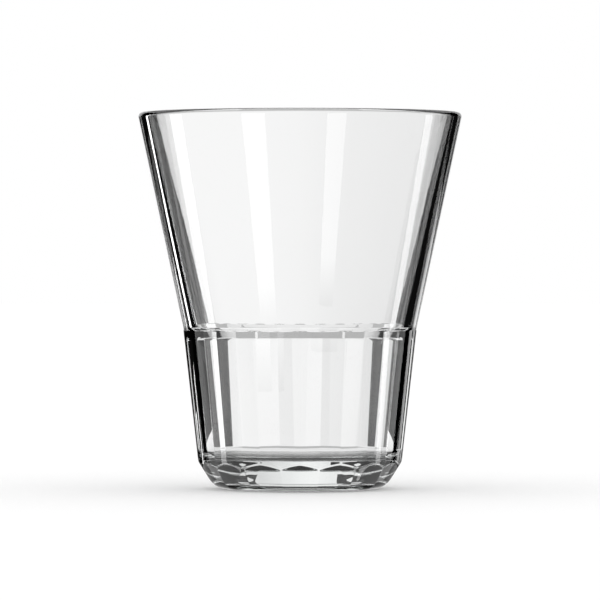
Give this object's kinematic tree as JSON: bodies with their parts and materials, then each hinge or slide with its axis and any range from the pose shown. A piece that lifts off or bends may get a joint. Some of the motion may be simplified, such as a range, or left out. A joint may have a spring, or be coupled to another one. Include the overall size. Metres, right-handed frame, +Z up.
{
  "type": "double old fashioned glass",
  "caption": "Clear pressed glass tumbler for short drinks, with a flared plain bowl over a narrower ribbed lower wall, a scalloped heel and a thick base.",
  "frame": {"origin": "centre of the bearing ring, on the plane that the glass stands on", "axes": "+Z up the axis of the glass, from the foot to the rim; -Y towards the camera, on the crease of one rib"},
  "size_m": [0.0928, 0.0928, 0.108],
  "materials": {
    "pressed_glass": "clear fire-polished soda-lime glass"
  },
  "bodies": {
    "root": {"tumbler": "pressed_glass"}
  },
  "joints": []
}
